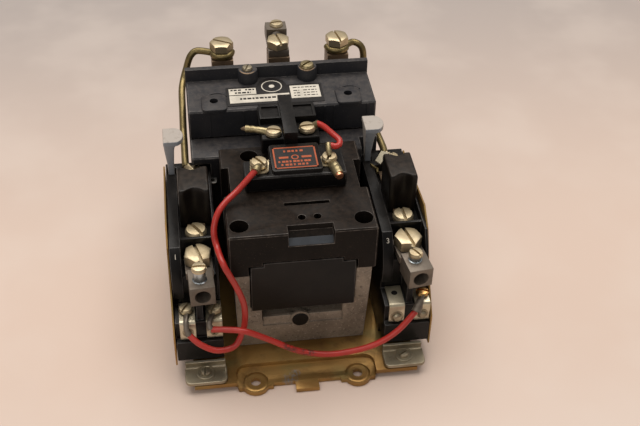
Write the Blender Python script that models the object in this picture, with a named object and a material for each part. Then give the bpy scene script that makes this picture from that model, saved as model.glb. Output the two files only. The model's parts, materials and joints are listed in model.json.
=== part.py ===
"""Open magnetic motor starter: contactor, solenoid and two overload relays on one steel plate.

Units in the constants are millimetres. X runs across the starter, Y runs from the overload
relays to the line terminals, and Z stands out of the panel that carries the plate.
"""

import math

import bmesh
import bpy
from mathutils import Matrix, Vector

MM = 0.001
GAP = 0.3

# Base plate: a stamped sheet with a raised platform and two pans that touch the panel.
SHEET = 2.4
PLATE_TOP = 2 * SHEET
PLATE_HALF_WIDTH = 55.3
PLATE_NEAR = -86.0
PLATE_FAR = 84.0
MOUNT_X = 25.4
MOUNT_Y = -84.2
MOUNT_HOLE_RADIUS = 2.65
PAN_RADIUS = 9.1
TOP_MOUNT_Y = 86.0
SEAT = PLATE_TOP + GAP

# Magnet frame and the coil cover on it.
FRAME_TOP = 56.8
FRAME_NEAR = -66.0
FRAME_FAR = -4.0
FRAME_HALF_TOP = 33.2
FRAME_HALF_FOOT = 31.8
WINDOW_HALF = 25.6
SILL_Z = 24.0
SHOULDER_Z = 34.0
COVER_BOTTOM = FRAME_TOP + GAP
COVER_TOP = 82.2
COVER_HALF = 35.1
COVER_NEAR = -67.0
COVER_FAR = 2.4

# Contact block, arc hood and the three poles.
BLOCK_HALF = 49.1
BLOCK_NEAR = 5.0
BLOCK_FAR = 82.0
LEDGE_Z = 75.0
HOOD_NEAR = 21.5
HOOD_FAR = 53.3
HOOD_TOP = 92.1
RIM_NEAR = 50.3
RIM_TOP = 99.3
POLE_X = (-28.2, 2.9, 35.6)
BRIDGE_Y = 40.0
TRAVEL = 6.0
TIP_Y = BRIDGE_Y + TRAVEL + GAP
LINE_Z = 48.0
LOAD_Z = LEDGE_Z + GAP
SCREW_Y = 73.0

# Overload relays: the same relay twice, measured from the middle of its heater.
RELAY_X = {"left": -49.2, "right": 53.3}
RELAY_LOW = -13.3
RELAY_HIGH = 9.4
LEVER_X = -10.3
LEVER_Y = 7.75

# Wires and rods.
WIRE_RADIUS = 1.6
ROD_RADIUS = 1.9


def clear_scene():
    for item in list(bpy.data.objects):
        bpy.data.objects.remove(item, do_unlink=True)


def material(name, colour, roughness, metallic=0.0):
    made = bpy.data.materials.new(name)
    made.use_nodes = True
    shader = made.node_tree.nodes["Principled BSDF"]
    shader.inputs["Base Color"].default_value = (*colour, 1.0)
    shader.inputs["Roughness"].default_value = roughness
    shader.inputs["Metallic"].default_value = metallic
    return made


LOOKS = {}


def make_looks():
    LOOKS["plate"] = material("yellow chromate sheet", (0.30, 0.21, 0.07), 0.45, 0.7)
    LOOKS["casting"] = material("rough grey casting", (0.20, 0.16, 0.12), 0.75, 0.4)
    LOOKS["phenolic"] = material("dark brown phenolic", (0.045, 0.034, 0.027), 0.55)
    LOOKS["slate"] = material("slate grey moulding", (0.075, 0.072, 0.075), 0.6)
    LOOKS["black"] = material("black moulding", (0.012, 0.011, 0.011), 0.4)
    LOOKS["zinc"] = material("bright zinc steel", (0.62, 0.58, 0.50), 0.3, 1.0)
    LOOKS["nickel"] = material("dull nickel steel", (0.45, 0.42, 0.37), 0.4, 1.0)
    LOOKS["lug"] = material("dull tinned lug", (0.25, 0.22, 0.19), 0.5, 0.8)
    LOOKS["copper"] = material("tarnished copper", (0.40, 0.22, 0.12), 0.45, 1.0)
    LOOKS["steel"] = material("laminated steel", (0.30, 0.29, 0.28), 0.5, 0.9)
    LOOKS["rod"] = material("yellow plated rod", (0.42, 0.34, 0.14), 0.35, 0.9)
    LOOKS["lever"] = material("pale grey moulding", (0.60, 0.58, 0.54), 0.5)
    LOOKS["coil"] = material("amber coil wrap", (0.16, 0.08, 0.03), 0.6)
    LOOKS["wire"] = material("red vinyl", (0.50, 0.02, 0.025), 0.4)


def add_object(name, mesh, look):
    made = bpy.data.objects.new(name, mesh)
    bpy.context.scene.collection.objects.link(made)
    if look:
        mesh.materials.append(LOOKS[look])
    return made


def from_bmesh(name, work, look, smooth=False):
    bmesh.ops.recalc_face_normals(work, faces=work.faces)
    mesh = bpy.data.meshes.new(name)
    work.to_mesh(mesh)
    work.free()
    if smooth:
        mesh.shade_smooth()
        mesh.set_sharp_from_angle(angle=math.radians(35))
    return add_object(name, mesh, look)


def place(axis, u, v, w):
    """A point whose outline lies across the axis: u and v in the outline, w along the axis."""
    spots = {"X": (w, u, v), "Y": (u, w, v), "Z": (u, v, w)}
    return Vector(spots[axis]) * MM


def prism(name, outline, axis, start, end, look=None):
    """An outline of (u, v) points, extruded along the axis from start to end."""
    work = bmesh.new()
    near = [work.verts.new(place(axis, u, v, start)) for u, v in outline]
    face = work.faces.new(near)
    swept = bmesh.ops.extrude_face_region(work, geom=[face])
    moved = [item for item in swept["geom"] if isinstance(item, bmesh.types.BMVert)]
    bmesh.ops.translate(work, verts=moved, vec=place(axis, 0, 0, end - start))
    return from_bmesh(name, work, look)


def box(name, x, y, z, look=None):
    outline = [(x[0], y[0]), (x[1], y[0]), (x[1], y[1]), (x[0], y[1])]
    return prism(name, outline, "Z", z[0], z[1], look)


def circle(u, v, radius, steps=24, turn=0.0):
    angles = [turn + 2 * math.pi * step / steps for step in range(steps)]
    return [(u + radius * math.cos(a), v + radius * math.sin(a)) for a in angles]


def rounded(u, v, radius, steps=4):
    """A rectangle over the ranges u and v, its corners rounded to the radius."""
    corners = [(u[1], v[1], 0), (u[0], v[1], 90), (u[0], v[0], 180), (u[1], v[0], 270)]
    points = []
    for cu, cv, first in corners:
        mu = cu - radius if cu == u[1] else cu + radius
        mv = cv - radius if cv == v[1] else cv + radius
        for step in range(steps + 1):
            a = math.radians(first + 90 * step / steps)
            points.append((mu + radius * math.cos(a), mv + radius * math.sin(a)))
    return points


def combine(target, tool, operation):
    change = target.modifiers.new(operation.lower(), "BOOLEAN")
    change.operation = operation
    change.solver = "EXACT"
    change.object = tool
    tool.hide_render = True
    tool.display_type = "WIRE"
    tool.name = "tool_" + target.name + "_" + tool.name


def cut(target, *tools):
    for tool in tools:
        combine(target, tool, "DIFFERENCE")


def join(target, *tools):
    for tool in tools:
        combine(target, tool, "UNION")


def soften(target, width=0.6, segments=1):
    """A small chamfer on sharp edges, applied before any cut."""
    change = target.modifiers.new("edges", "BEVEL")
    change.width = width * MM
    change.segments = segments
    change.limit_method = "ANGLE"
    change.angle_limit = math.radians(40)


def smooth_route(points, spacing):
    """Points at about the spacing along a smooth curve through the given ones."""
    path = [Vector(p) for p in points]
    path = [2 * path[0] - path[1]] + path + [2 * path[-1] - path[-2]]
    found = []
    for index in range(1, len(path) - 2):
        a, b, c, d = path[index - 1 : index + 3]
        steps = max(1, round((c - b).length / spacing))
        for step in range(steps):
            t = step / steps
            found.append(
                0.5
                * (
                    2 * b
                    + (c - a) * t
                    + (2 * a - 5 * b + 4 * c - d) * t**2
                    + (3 * b - a - 3 * c + d) * t**3
                )
            )
    found.append(path[-2])
    return found


def tube(name, points, radius, look, sides=2):
    data = bpy.data.curves.new(name, "CURVE")
    data.dimensions = "3D"
    data.bevel_depth = radius * MM
    data.bevel_resolution = sides
    data.use_fill_caps = True
    spline = data.splines.new("POLY")
    spline.points.add(len(points) - 1)
    for spot, point in zip(spline.points, points):
        spot.co = (*(Vector(point) * MM), 1.0)
    return add_object(name, data, look)


def move_origin(target, x, y, z):
    """Puts the object's origin on its joint's axis and leaves its shape where it is."""
    spot = Vector((x, y, z)) * MM
    target.data.transform(Matrix.Translation(-spot))
    target.location = spot


def make_plate():
    outline = [
        (-PLATE_HALF_WIDTH, PLATE_NEAR),
        (PLATE_HALF_WIDTH, PLATE_NEAR),
        (PLATE_HALF_WIDTH, 40),
        (44, 60),
        (44, PLATE_FAR),
        (-44, PLATE_FAR),
        (-44, 60),
        (-PLATE_HALF_WIDTH, 40),
    ]
    plate = prism("base_plate", outline, "Z", SHEET, PLATE_TOP, "plate")
    join(
        plate,
        prism("near_pan", rounded((-37.0, 37.0), (PLATE_NEAR, -71.8), 6), "Z", 0, PLATE_TOP),
        prism("far_pan", rounded((-30, 30), (64, 93.3), 5), "Z", 0, PLATE_TOP),
        box("tab", (-6, 5.4), (-91.2, -84), (0, SHEET)),
    )
    for side in (-1, 1):
        ring = circle(side * MOUNT_X, MOUNT_Y, PAN_RADIUS, 32)
        join(plate, prism("ring", ring, "Z", 0, SHEET))
    cut(
        plate,
        prism("near_hollow", rounded((-34.6, 34.6), (-100, -74.2), 5), "Z", SHEET, 8),
        prism("far_hollow", rounded((-27.6, 27.6), (83, 100), 3), "Z", SHEET, 8),
    )
    for side in (-1, 1):
        hole = circle(side * MOUNT_X, MOUNT_Y, MOUNT_HOLE_RADIUS, 24)
        cut(plate, prism("hole", hole, "Z", -2, 8))
    cut(plate, prism("top_hole", circle(0, 88, MOUNT_HOLE_RADIUS), "Z", -2, 8))


def make_frame():
    section = [
        (-FRAME_HALF_FOOT, SEAT),
        (FRAME_HALF_FOOT, SEAT),
        (FRAME_HALF_TOP, FRAME_TOP),
        (WINDOW_HALF, FRAME_TOP),
        (WINDOW_HALF, SHOULDER_Z),
        (20, SHOULDER_Z),
        (20, SILL_Z),
        (-20, SILL_Z),
        (-20, SHOULDER_Z),
        (-WINDOW_HALF, SHOULDER_Z),
        (-WINDOW_HALF, FRAME_TOP),
        (-FRAME_HALF_TOP, FRAME_TOP),
    ]
    frame = prism("magnet_frame", section, "Y", FRAME_NEAR, FRAME_FAR, "casting")
    draft = [(-75, 0), (-61.3, 0), (FRAME_NEAR, 50), (FRAME_NEAR, 60), (-75, 60)]
    cut(frame, prism("draft", draft, "X", -50, 50))
    cut(frame, prism("screw_seat", circle(0, SILL_Z + 1, 4.6), "Y", -70, -58))


def make_cover():
    cover = box(
        "coil_cover",
        (-COVER_HALF, COVER_HALF),
        (COVER_NEAR, COVER_FAR),
        (COVER_BOTTOM, COVER_TOP),
        "phenolic",
    )
    soften(cover, 0.7)
    cut(
        cover,
        box("cap_room", (-26.1, 26.1), (-70, -5), (50, 63.4)),
        box("step_room", (-19.4, 19.4), (-70, -5), (60, 65.6)),
        box("slot", (-6.9, 15.0), (-46.3, -44.2), (76, 90)),
        prism("front_notch", [(-70, 74.5), (-66, 74.5), (-60.8, 79), (-60.8, 90), (-70, 90)],
              "X", -7.2, 14.4),
    )
    for side in (-1, 1):
        cut(
            cover,
            prism("near_hole", circle(side * 29.3, -58.7, 4.5), "Z", 70, 90),
            prism("far_hole", circle(side * 20.3, -5.3, 4.5), "Z", 70, 90),
            box("side_notch", sorted((side * 31.3, side * 40)), (-36.3, -14), (60, 90)),
        )
    for x in (0.3, 7.8):
        cut(cover, prism("small_hole", circle(x, -55.4, 1.9, 16), "Z", 76, 90))


def make_solenoid():
    coil = box("coil", (-19.6, 19.6), (-44, -12.6), (26, 56), "coil")
    soften(coil, 2.0, 2)
    cut(coil, box("bore", (-8.8, 8.8), (-50, 0), (32.8, 49.8)))
    core = box("stationary_core", (-19.6, 19.6), (-12.2, -4.6), (26, 55.6), "steel")
    join(core, box("leg", (-8.4, 8.4), (-22, -12), (33.2, 49.4)))
    armature = box("armature", (-19.6, 19.6), (-57.6, -50.6), (27, 55.4), "steel")
    join(armature, box("leg", (-8.4, 8.4), (-51, -22 - TRAVEL - GAP), (33.2, 49.4)))
    cap = box("armature_cap", (-25.2, 25.2), (-67.2, -58), (34.4, 63), "black")
    join(cap, box("step", (-19, 19), (-67.2, -58), (60, 65.2)))
    yoke = box("carriage_yoke", (21.2, 24.8), (-57.7, 27.7), (36, 50), "steel")
    join(
        yoke,
        box("left_strap", (-24.8, -21.2), (-57.7, 27.7), (36, 50)),
        box("crossbar", (-24.8, 24.8), (24.2, 27.7), (36, 50)),
    )


def make_terminal_block():
    block = box("coil_terminal_block", (-24.4, 24.8), (-35, -11), (COVER_TOP + GAP, 91), "black")
    soften(block, 0.6)
    join(block, prism("label_seat", rounded((-11, 13.3), (-34, -13), 1.2, 2), "Z", 90, 93.7))


def make_contact_block():
    block = box(
        "contact_block", (-BLOCK_HALF, BLOCK_HALF), (BLOCK_NEAR, BLOCK_FAR), (SEAT, LEDGE_Z), "slate"
    )
    soften(block, 0.8)
    cut(
        block,
        box("chamber", (-44, 45), (22.5, 52.5), (22, 90)),
        box("yoke_room", (-25.6, 25.6), (-5, 30), (35, 51)),
        box("interlock_room", (-3.3, 3.8), (14, 30), (62, 90)),
        box("right_relay_corner", (39.4, 60), (0, 14.4), (0, 90)),
        box("left_relay_corner", (-60, -39.4), (0, 14.4), (0, 71)),
    )
    for x in POLE_X:
        cut(block, box("line_slot", (x - 5.4, x + 5.4), (45, 95), (LINE_Z - GAP, LINE_Z + 4.3)))


def make_hood():
    hood = box(
        "arc_hood", (-BLOCK_HALF, BLOCK_HALF), (HOOD_NEAR, HOOD_FAR), (LEDGE_Z + GAP, HOOD_TOP), "slate"
    )
    soften(hood, 0.8)
    rim = box("rim", (-BLOCK_HALF, BLOCK_HALF), (RIM_NEAR, HOOD_FAR), (HOOD_TOP - 2, RIM_TOP))
    join(hood, rim)
    for side in (-1, 1):
        join(
            hood,
            prism("rim_boss", circle(side * 15.9, 49.0, 4.3), "Z", HOOD_TOP - 1, RIM_TOP),
            box("pad", (side * 35.2 - 6, side * 35.2 + 6), (19.2, 35), (89.6, 93.2)),
        )
    cut(
        hood,
        box("chamber", (-44, 45), (25.5, 49.3), (70, 88)),
        box("pusher_slot", (-3.3, 3.8), (15, 30), (70, 86)),
    )
    for x in POLE_X:
        cut(hood, box("bar_slot", (x - 5.6, x + 5.6), (45, 60), (70, LOAD_Z + 4.4)))
    for side in (-1, 1):
        cut(hood, prism("pad_hole", circle(side * 35.2, 29.4, 2.2, 16), "Z", 85, 100))


def make_poles():
    carrier = box("contact_carrier", (-41, 42.5), (28, 37.2), (40, 84), "black")
    for index, x in enumerate(POLE_X, 1):
        cut(carrier, box("pocket", (x - 4.6, x + 4.6), (31.2, 40), (58, 70)))
        cut(carrier, box("bar_recess", (x - 4.6, x + 4.6), (35.6, 40), (45, 82.6)))
        bar = box(f"moving_contact_{index}", (x - 4, x + 4), (37.6, BRIDGE_Y), (46, 81.5), "copper")
        join(bar, box("stem", (x - 1.2, x + 1.2), (34.5, 38), (62.8, 65.2)))
        turns = [
            (
                x + 3.1 * math.cos(a * 0.7854),
                31.9 + 4.9 * a / 32,
                64 + 3.1 * math.sin(a * 0.7854),
            )
            for a in range(33)
        ]
        tube(f"contact_spring_{index}", turns, 0.35, "steel", 0)
        line = box(
            f"line_terminal_{index}", (x - 5, x + 5), (TIP_Y, 88), (LINE_Z, LINE_Z + 4), "copper"
        )
        cut(line, prism("screw_hole", circle(x, 85, 1.6, 12), "Z", 40, 60))
        load = box(
            f"load_terminal_{index}", (x - 5, x + 5), (TIP_Y, 79), (LOAD_Z, LOAD_Z + 4), "copper"
        )
        join(load, box("post", (x - 5.9, x + 5.9), (67, 79), (LOAD_Z, 93.5)))
        cut(load, prism("shank_hole", circle(x, SCREW_Y, 3.3, 16), "Z", 84, 100))
        head = circle(x, SCREW_Y, 6.4, 6, 0.4 * index)
        screw = prism(f"load_screw_{index}", head, "Z", 98.0, 102.2, "zinc")
        join(screw, prism("shank", circle(x, SCREW_Y, 3.0, 16), "Z", 86, 99))
        slot = box("slot", (-8, 8), (-0.7, 0.7), (100.8, 104))
        slot.location = Vector((x, SCREW_Y, 0)) * MM
        slot.rotation_euler = (0, 0, 0.4 * index + 0.5)
        cut(screw, slot)


def make_top_lug():
    x = POLE_X[1]
    lug = box("load_lug", (x - 5.6, x + 5.6), (68, 93.3), (93.8, 97.6), "lug")
    join(lug, box("barrel", (x - 5.6, x + 5.6), (80, 93.3), (94, 104)))
    cut(
        lug,
        prism("wire_hole", circle(x, 99.2, 3.4, 20), "Y", 70, 99),
        prism("shank_hole", circle(x, SCREW_Y, 3.3, 16), "Z", 90, 100),
    )


def make_interlock():
    base = box("interlock_base", (-13.8, 15.3), (-8, 21.2), (84.5, 93.7), "black")
    soften(base, 0.5)
    join(
        base,
        box("upper", (-13.4, 14.9), (4.5, 17.6), (90, 97.5)),
        box("strip", (-3, 3.6), (-12.4, 21.2), (92, 100)),
    )
    cut(
        base,
        box("left_pocket", (-12, -3.6), (6, 15), (94.6, 99)),
        box("right_pocket", (4.2, 13.6), (6, 15), (94.6, 99)),
        box("pusher_room", (-3.3, 3.8), (10, 30), (70, 90)),
    )
    pusher = box("interlock_pusher", (-2.6, 3.1), (13.5, 27.4), (76.5, 82), "black")
    join(pusher, box("bar", (-2.6, 3.1), (13.5, 15.2), (77, 89)))


def rod_route(x, side):
    """A rod that loops round a terminal screw, then runs down beside the hood to a relay."""
    loop = []
    for step in range(9):
        a = math.radians(-60 + 30 * step)
        loop.append((x - side * 5.4 * math.cos(a), SCREW_Y - 5.4 * math.sin(a), 95.7))
    edge = side * (BLOCK_HALF + 2.6)
    rest = [
        (edge - side * 9, 75.5, 96.0),
        (edge - side * 2, 71, 95.2),
        (edge, 64, 91.0),
        (edge, 50, 80.5),
        (edge, 30, 72.2),
        (edge, 17, 69.4),
        (edge, 12, 68.3),
        (edge, 7.5, 68.1),
    ]
    return loop, rest


def make_rods():
    for name, x, side in (("rod_left", POLE_X[0], -1), ("rod_right", POLE_X[2], 1)):
        loop, rest = rod_route(x, side)
        shape = tube(name, smooth_route(loop[3:] + rest, 3.2), ROD_RADIUS, "rod")
        shape.data.bevel_resolution = 2


def make_relay_base(side, x):
    profile = [
        (-73.5, SEAT),
        (14, SEAT),
        (14, 60.5),
        (-45.1, 60.5),
        (-45.1, 52),
        (-57.5, 52),
        (-57.5, 33.6),
        (-70.4, 33.6),
        (-70.4, 23.2),
        (-73.5, 23.2),
    ]
    base = prism(f"{side}_relay_base", profile, "X", x + RELAY_LOW, x + RELAY_HIGH, "black")
    wall = [(-60, 40), (14, 40), (14, 66), (-52, 66), (-57.5, 58), (-60, 50)]
    join(
        base,
        prism("deep_wall", wall, "X", x + RELAY_LOW, x - 8.0),
        prism("thin_wall", wall, "X", x + 8.0, x + RELAY_HIGH),
        box("ledge", (x - 9, x + 9), (-45.1, -43.6), (50, 65)),
        box("rib", (x - 2.6, x + 0.6), (-69, -56), (30, 45)),
        box("far_block", (x - 9, x + 9), (1, 14), (58, 66)),
    )
    cut(
        base,
        box("chamber", (x - 8, x + 7), (-32, 0), (-5, 45)),
        box("lever_hole", (x + LEVER_X - 2.3, x + LEVER_X + 2.3), (5, 10.5), (43, 80)),
    )


def make_relay_mechanism(side, x):
    lever = box(
        f"{side}_reset_lever", (x + LEVER_X - 1.9, x + LEVER_X + 1.9), (5.4, 10.1), (51, 86), "lever"
    )
    head = [(x - 13.2, 1.0), (x - 3.4, 1.0)]
    head += [(x - 8.3 + 4.9 * math.cos(a * 0.31416), 7.5 + 6 * math.sin(a * 0.31416)) for a in range(11)]
    join(lever, prism("head", head, "Z", 84, 89))
    move_origin(lever, x + LEVER_X, LEVER_Y, 66)
    teeth = []
    for step in range(24):
        radius = 6.0 if step % 2 else 4.8
        a = 2 * math.pi * step / 24
        teeth.append((x + radius * math.cos(a), -20 + radius * math.sin(a)))
    wheel = prism(f"{side}_ratchet_wheel", teeth, "Z", 38, 40, "copper")
    join(wheel, prism("spindle", circle(x, -20, 1.6, 16), "Z", 30, 44.6))
    move_origin(wheel, x, -20, 38)
    arm = box(f"{side}_trip_arm", (x - 1.5, x + 1.5), (-15, -3), (24, 26), "zinc")
    join(arm, prism("hub", circle(x, -4.5, 2.4, 16), "Z", 18, 44.6))
    move_origin(arm, x, -4.5, 25)


def make_heater(side, x):
    top = []
    for step in range(9):
        t = step / 8
        top.append((x + 7.3 - 14.6 * t, -11.6 - 1.6 * math.sin(math.pi * t)))
    for step in range(9):
        t = step / 8
        top.append((x - 7.3 + 14.6 * t, -31.2 + 1.6 * math.sin(math.pi * t)))
    heater = prism(f"{side}_heater", top, "Z", 60.8, 83, "phenolic")
    join(heater, box("strap", (x - 6, x + 6), (-43.2, 0.4), (60.8, 62.4)))


def make_relay_metal(side, x, turn):
    lug = box(f"{side}_lug", (-5.9, 5.9), (-20.8, -7), (47, 58), "lug")
    join(lug, box("tongue", (-6.6, 6.6), (-8, 5.4), (52.4, 56.3)))
    cut(
        lug,
        prism("wire_hole", circle(0, 52.2, 3.8, 20), "Y", -30, -5),
        prism("screw_hole", circle(0, 0, 3.4, 16), "Z", 50, 60),
    )
    screw = prism(f"{side}_terminal_screw", circle(0, 0, 6.6, 6, 0.35), "Z", 56.6, 62.5, "zinc")
    join(screw, prism("shank", circle(0, 0, 3.0, 16), "Z", 52.4, 57))
    slot = box("slot", (-9, 9), (-0.8, 0.8), (60.8, 66))
    slot.rotation_euler = (0, 0, 2.0)
    cut(screw, slot)
    for piece in (lug, screw, slot):
        piece.location = Vector((x, -52.0, 0)) * MM
    lug.rotation_euler = (0, 0, turn)
    for tool in bpy.data.objects:
        if tool.name.startswith(f"tool_{side}_lug"):
            tool.location = lug.location
            tool.rotation_euler = lug.rotation_euler
        elif tool.name.startswith(f"tool_{side}_terminal_screw_shank"):
            tool.location = screw.location
    for name, middle in (("clip_a", -7.3), ("clip_b", 5.5)):
        outline = [(-71.7, 23.6), (-70.7, 23.6), (-70.7, 33.9), (-57.9, 33.9), (-57.9, 34.9)]
        outline += [(-71.2, 34.9), (-71.7, 34.4)]
        prism(f"{side}_{name}", outline, "X", x + middle - 3.9, x + middle + 3.9, "zinc")


def make_relay_mount(side):
    sign = -1 if side == "left" else 1
    middle = sign * 49.3
    foot = prism(
        f"{side}_foot", rounded((middle - 10.3, middle + 10.3), (-86, -74), 2.6), "Z", SEAT, 7.1, "nickel"
    )
    join(foot, box("flange", (middle - 9.8, middle + 9.8), (-75.8, -73.9), (SEAT, 10.3)))
    cut(foot, box("heel", (middle - 20, middle + 20), (-73.9, -60), (0, 20)))
    sheet = [(-73.6, 8), (12, 8), (12, 66), (-40, 71), (-50, 64), (-60, 44), (-73.6, 27)]
    ends = sorted((sign * 62.95, sign * 63.7))
    prism(f"{side}_side_plate", sheet, "X", ends[0], ends[1], "plate")


def make_wires():
    coil_to_relay = [
        (-18.5, -33.5, 95.4),
        (-27.6, -39.2, 88.5),
        (-34.7, -44.9, 85.5),
        (-38.9, -49.4, 82),
        (-40.9, -53.9, 76),
        (-40.0, -58.5, 70.5),
        (-37.6, -70, 69),
        (-32.4, -72, 56.5),
        (-29.2, -73, 45.7),
        (-29.1, -74, 35.5),
        (-30.8, -76.5, 30),
        (-34.9, -79.5, 24.2),
        (-43.3, -80.8, 23.8),
        (-51.0, -79, 27.0),
        (-56.0, -75.6, 30.4),
    ]
    between_relays = [
        (-45.2, -76, 33.6),
        (-38.1, -77.6, 34.2),
        (-29.1, -80.2, 34.5),
        (-17.6, -80, 27),
        (-5.1, -80.5, 18.8),
        (7.3, -81.5, 15.4),
        (18.7, -82, 15.6),
        (32.7, -82, 19),
        (44.2, -80.5, 25.5),
        (54.4, -75.5, 33.4),
    ]
    interlock_to_coil = [
        (14.8, -1.6, 96.8),
        (17.2, -4.8, 97.3),
        (19.4, -10.0, 97.9),
        (21.6, -14.9, 98.2),
        (23.3, -18.2, 97.9),
        (22.9, -20.9, 97.2),
        (20.6, -21.9, 97.0),
        (18.6, -21.2, 97.3),
    ]
    tube("wire_coil", smooth_route(coil_to_relay, 7.0), WIRE_RADIUS, "wire")
    tube("wire_relays", smooth_route(between_relays, 6.0), WIRE_RADIUS, "wire")
    tube("wire_interlock", smooth_route(interlock_to_coil, 4.0), WIRE_RADIUS, "wire")


def main():
    clear_scene()
    make_looks()
    make_plate()
    make_frame()
    make_cover()
    make_solenoid()
    make_terminal_block()
    make_contact_block()
    make_hood()
    make_poles()
    make_top_lug()
    make_interlock()
    make_rods()
    for side, x in RELAY_X.items():
        make_relay_base(side, x)
        make_relay_mechanism(side, x)
        make_heater(side, x)
        make_relay_metal(side, x, 0.05 if side == "left" else 0.14)
        make_relay_mount(side)
    make_wires()


main()
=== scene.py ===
"""Looks for an open magnetic motor starter: mouldings, castings, plated metal and red control wire.

Lengths in the tables are in millimetres, in the frame of the CAD solids.
"""

import math

import bmesh
import bpy
import numpy as np
from mathutils import Matrix, Vector
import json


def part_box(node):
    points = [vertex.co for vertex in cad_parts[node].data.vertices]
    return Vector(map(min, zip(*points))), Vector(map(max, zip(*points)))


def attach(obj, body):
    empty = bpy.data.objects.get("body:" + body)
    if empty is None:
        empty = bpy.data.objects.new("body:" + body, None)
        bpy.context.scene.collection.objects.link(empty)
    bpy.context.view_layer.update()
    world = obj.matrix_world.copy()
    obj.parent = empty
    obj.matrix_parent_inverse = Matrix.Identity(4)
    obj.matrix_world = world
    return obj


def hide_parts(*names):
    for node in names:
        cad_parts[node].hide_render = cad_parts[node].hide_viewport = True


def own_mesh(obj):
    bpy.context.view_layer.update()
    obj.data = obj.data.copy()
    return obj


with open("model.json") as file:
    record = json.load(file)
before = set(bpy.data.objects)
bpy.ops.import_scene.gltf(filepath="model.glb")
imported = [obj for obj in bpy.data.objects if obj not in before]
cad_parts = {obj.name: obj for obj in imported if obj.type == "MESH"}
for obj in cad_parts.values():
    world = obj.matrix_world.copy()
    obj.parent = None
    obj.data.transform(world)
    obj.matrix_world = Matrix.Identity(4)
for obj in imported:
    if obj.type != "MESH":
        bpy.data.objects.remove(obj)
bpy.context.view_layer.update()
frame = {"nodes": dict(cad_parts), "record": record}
MM = 0.001
RELAYS = {"left": -49.2, "right": 53.3}
POLES = (-28.2, 2.9, 35.6)
TERMINAL_Y = -52.0
TOP_SCREW_Y = 73.0
HOOD_TOP = 92.1
SLOT_OF = {part["node"]: part["material_slot"] for part in frame["record"]["subparts"]}
RECORD_SLOTS = {entry["slot"] for entry in frame["record"]["materials"]}


# materials

OBJECT_COORDINATES = 3
SURFACE_NORMAL = 1


class Sock:
    """A socket in a material's tree. Operators on it add Math nodes."""

    def __init__(self, kit, socket):
        self.kit = kit
        self.socket = socket

    def op(self, name, other, swap=False):
        pair = [other, self] if swap else [self, other]
        return self.kit.node("Math", {"operation": name}, pair)[0]

    def __add__(self, other):
        return self.op("ADD", other)

    __radd__ = __add__

    def __sub__(self, other):
        return self.op("SUBTRACT", other)

    def __rsub__(self, other):
        return self.op("SUBTRACT", other, swap=True)

    def __mul__(self, other):
        return self.op("MULTIPLY", other)

    def clip(self):
        return self.kit.node("Math", {"operation": "ADD", "use_clamp": True}, [self, 0.0])[0]


class Finish:
    """One material and the few node calls that build it."""

    def __init__(self, name):
        self.material = bpy.data.materials.new(name)
        self.material.use_nodes = True
        self.tree = self.material.node_tree
        self.shader = self.tree.nodes["Principled BSDF"]
        self.place = self.node("TexCoord", {}, [])[OBJECT_COORDINATES]

    def node(self, kind, settings, values):
        """Adds a node, sets it, feeds its inputs by order or by name, and returns its outputs."""
        made = self.tree.nodes.new("ShaderNode" + kind)
        for key, value in settings.items():
            if key == "stops":
                ramp = made.color_ramp
                for index, (spot, colour) in enumerate(value):
                    stop = ramp.elements[index] if index < 2 else ramp.elements.new(spot)
                    stop.position = spot
                    stop.color = (*colour, 1.0)
            else:
                setattr(made, key, value)
        pairs = values.items() if isinstance(values, dict) else enumerate(values)
        for key, value in pairs:
            if isinstance(value, Sock):
                self.tree.links.new(value.socket, made.inputs[key])
            elif value is not None:
                made.inputs[key].default_value = value
        return [Sock(self, out) for out in made.outputs]

    def noise(self, scale, detail, rough, stretch=None):
        spot = self.place
        if stretch:
            spot = self.node("Mapping", {}, {"Vector": spot, "Scale": stretch})[0]
        return self.node("TexNoise", {}, {"Vector": spot, "Scale": scale, "Detail": detail,
                                          "Roughness": rough})[0]

    def ramp(self, value, low, high):
        """0 below low, 1 above high, smooth between."""
        return self.node("MapRange", {"interpolation_type": "SMOOTHSTEP"},
                         {"Value": value, "From Min": low, "From Max": high})[0]

    def mix(self, factor, first, second):
        return self.node("Mix", {"data_type": "RGBA"}, {0: factor, 6: tint(first),
                                                        7: tint(second)})[2]

    def facing(self, axis):
        """How far the surface faces along an axis, from -1 to 1."""
        normal = self.node("NewGeometry", {}, [])[SURFACE_NORMAL]
        return self.node("SeparateXYZ", {}, [normal])["XYZ".index(axis)]

    def along(self, axis):
        return self.node("SeparateXYZ", {}, [self.place])["XYZ".index(axis)]

    def close_to(self, spot, core, reach):
        """1 within core of the spot, 0 beyond reach."""
        away = self.node("VectorMath", {"operation": "DISTANCE"}, [self.place, spot])[1]
        return 1 - self.ramp(away, core, reach)

    def bump(self, height, strength, distance):
        return self.node("Bump", {}, {"Height": height, "Strength": strength,
                                      "Distance": distance})[0]

    def done(self, colour, roughness, metallic, normal, **constants):
        self.feed("Base Color", colour)
        self.feed("Roughness", roughness)
        self.feed("Metallic", metallic)
        self.feed("Normal", normal)
        for name, value in constants.items():
            self.shader.inputs[name.replace("_", " ")].default_value = value
        return self.material

    def feed(self, name, value):
        if isinstance(value, Sock):
            self.tree.links.new(value.socket, self.shader.inputs[name])
        else:
            self.shader.inputs[name].default_value = tint(value)


def tint(value):
    return (*value, 1.0) if isinstance(value, tuple) and len(value) == 3 else value


def shade(colour, factor):
    return tuple(c * factor for c in colour)


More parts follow.
